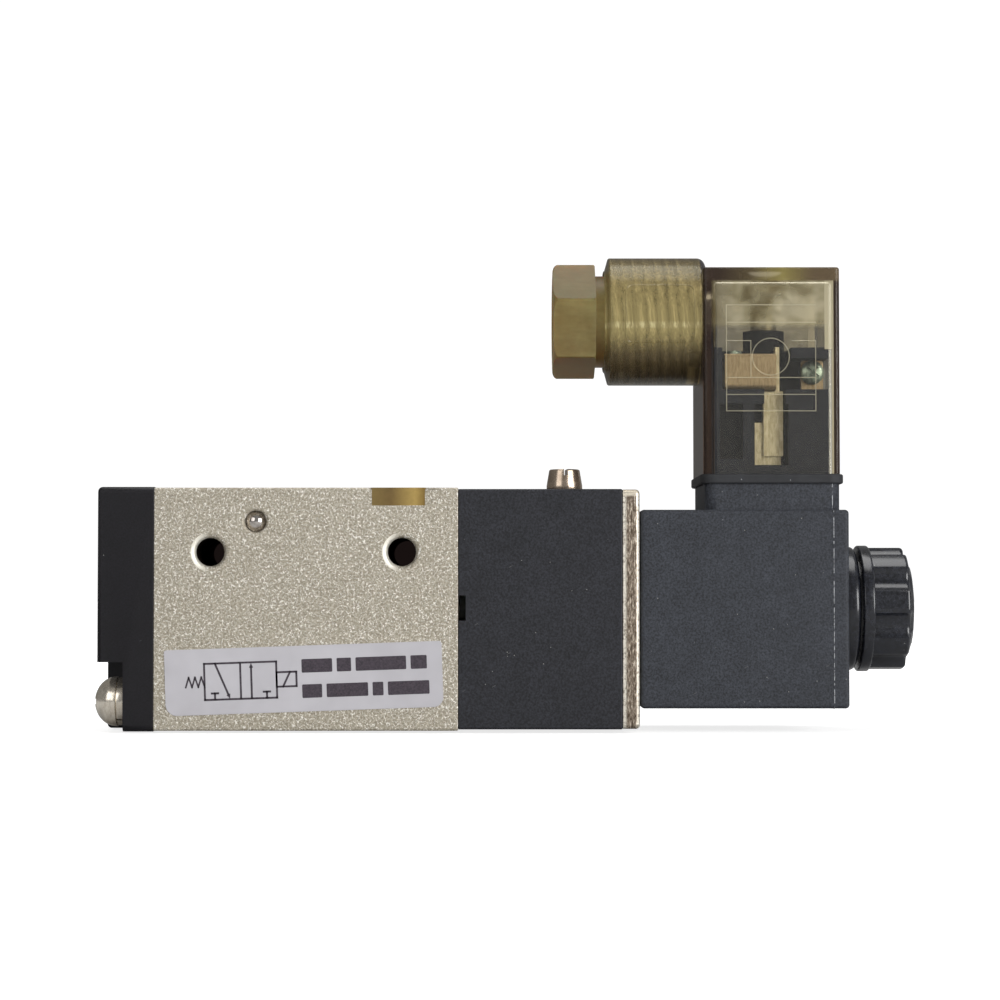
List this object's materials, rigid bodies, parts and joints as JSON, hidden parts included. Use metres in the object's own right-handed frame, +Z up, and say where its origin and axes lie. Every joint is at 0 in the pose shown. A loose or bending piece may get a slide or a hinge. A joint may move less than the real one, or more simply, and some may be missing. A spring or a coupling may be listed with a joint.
{
  "type": "solenoid directional valve",
  "caption": "Pilot-operated spring-return directional valve with an aluminium body, a side coil and an angled transparent plug connector with a cable gland.",
  "frame": {"origin": "midway between the axes of the two side mounting holes, on the rear mounting face", "axes": "+X along the spool from the end cap to the coil, +Y from the front face to the rear face, +Z up towards the outlet port and the connector"},
  "size_m": [0.0921, 0.0181, 0.0538],
  "materials": {
    "body_aluminium": "bead-blasted and champagne anodised, fine glitter",
    "black_nylon": "matte glass-filled nylon",
    "coil_plastic": "satin encapsulation",
    "nut_plastic": "glossy moulded",
    "terminal_plastic": "satin moulded",
    "white_acetal": "satin",
    "seal_rubber": "matte nitrile",
    "clear_rubber": "smoky translucent",
    "polished_steel": "polished",
    "nickel_screw": "nickel plated",
    "zinc_screw": "zinc plated, faint green",
    "plated_steel": "plated sheet with sheared edges",
    "tube_steel": "turned stainless",
    "anodised_spool": "turned and anodised",
    "brass": "plain, lightly tarnished",
    "tinned_brass": "tinned",
    "copper_wire": "enamelled wire",
    "smoke_clear_plastic": "clear moulded, smoke amber",
    "amber_plastic": "translucent moulded, olive amber",
    "label_film": "satin printed film"
  },
  "bodies": {
    "valve": {"valve_body": "body_aluminium", "channel_ball": "polished_steel", "pilot_channel_plug": "brass", "end_cap": "black_nylon", "end_cap_gasket": "seal_rubber", "end_cap_screws": "nickel_screw", "end_cap_washers": "nickel_screw", "return_spring": "polished_steel", "pilot_gasket": "seal_rubber", "pilot_housing": "black_nylon", "override_spring": "polished_steel", "override_pin": "polished_steel", "coil_plate": "plated_steel", "plate_screws": "nickel_screw", "armature_tube": "tube_steel", "tube_seal": "seal_rubber", "fixed_core": "tube_steel", "armature_spring": "polished_steel", "label": "label_film"},
    "spool": {"spool": "anodised_spool", "spool_seals": "seal_rubber"},
    "piston": {"pilot_piston": "white_acetal", "piston_seal": "seal_rubber"},
    "armature": {"armature": "tube_steel", "armature_seal_pad": "seal_rubber"},
    "override_press": {"override_seal": "seal_rubber"},
    "override_turn": {"override_button": "nickel_screw"},
    "coil": {"coil_moulding": "coil_plastic", "coil_bobbin": "white_acetal", "coil_winding": "copper_wire", "coil_yoke": "plated_steel", "contact_blades": "tinned_brass"},
    "nut_press": {"nut_seal": "nut_plastic"},
    "nut_turn": {"coil_nut": "nut_plastic"},
    "connector": {"connector_gasket": "seal_rubber", "connector_housing": "smoke_clear_plastic", "terminal_block": "terminal_plastic", "terminal_contacts": "tinned_brass", "terminal_clamps": "brass", "terminal_screws": "zinc_screw", "gland_bush": "clear_rubber"},
    "fixing_lift": {"connector_screw_seal": "seal_rubber"},
    "fixing_turn": {"connector_screw": "nickel_screw"},
    "gland_press": {"gland_washer": "terminal_plastic"},
    "gland_turn": {"gland_nut": "amber_plastic"}
  },
  "joints": [
    {"name": "spool_slide", "type": "slide", "parent": "valve", "child": "spool", "axis": [-1, 0, 0], "range_m": [0, 0.0025], "stiffness_N_per_m": 800, "springref_m": -0.004, "deforming": ["return_spring"]},
    {"name": "piston_slide", "type": "slide", "parent": "valve", "child": "piston", "axis": [-1, 0, 0], "range_m": [0, 0.0025]},
    {"name": "armature_slide", "type": "slide", "parent": "valve", "child": "armature", "axis": [1, 0, 0], "range_m": [0, 0.0007], "stiffness_N_per_m": 700, "springref_m": -0.002, "deforming": ["armature_spring"]},
    {"name": "override_press", "type": "slide", "parent": "valve", "child": "override_press", "axis": [0, 0, -1], "range_m": [0, 0.0012], "stiffness_N_per_m": 500, "springref_m": -0.0018, "deforming": ["override_spring"]},
    {"name": "override_turn", "type": "hinge", "parent": "override_press", "child": "override_turn", "pos_m": [0.02895, -0.009, 0.004], "axis": [0, 0, 1], "range_deg": [-90, 0]},
    {"name": "coil_turn", "type": "hinge", "parent": "valve", "child": "coil", "pos_m": [0.049, -0.009, -0.00633], "axis": [1, 0, 0], "continuous": true},
    {"name": "nut_slide", "type": "slide", "parent": "valve", "child": "nut_press", "axis": [1, 0, 0], "range_m": [0, 0.003]},
    {"name": "nut_turn", "type": "hinge", "parent": "nut_press", "child": "nut_turn", "pos_m": [0.065, -0.009, -0.00633], "axis": [1, 0, 0], "range_deg": [0, 1440]},
    {"name": "connector_lift", "type": "slide", "parent": "coil", "child": "connector", "axis": [0, 0, 1], "range_m": [0, 0.008]},
    {"name": "fixing_screw_slide", "type": "slide", "parent": "connector", "child": "fixing_lift", "axis": [0, 0, 1], "range_m": [0, 0.003]},
    {"name": "fixing_screw_turn", "type": "hinge", "parent": "fixing_lift", "child": "fixing_turn", "pos_m": [0.0518, -0.009, 0.02], "axis": [0, 0, 1], "range_deg": [0, 2160]},
    {"name": "gland_slide", "type": "slide", "parent": "connector", "child": "gland_press", "axis": [-1, 0, 0], "range_m": [0, 0.00508]},
    {"name": "gland_turn", "type": "hinge", "parent": "gland_press", "child": "gland_turn", "pos_m": [0.03, -0.009, 0.02657], "axis": [-1, 0, 0], "range_deg": [0, 1440]}
  ],
  "couplings": [
    {"joint": "piston_slide", "follows": "spool_slide", "ratio": 1},
    {"joint": "nut_turn", "follows": "nut_slide", "rad_per_m": 8377.6},
    {"joint": "fixing_screw_turn", "follows": "fixing_screw_slide", "rad_per_m": 12566},
    {"joint": "gland_turn", "follows": "gland_slide", "rad_per_m": 4947.4}
  ]
}
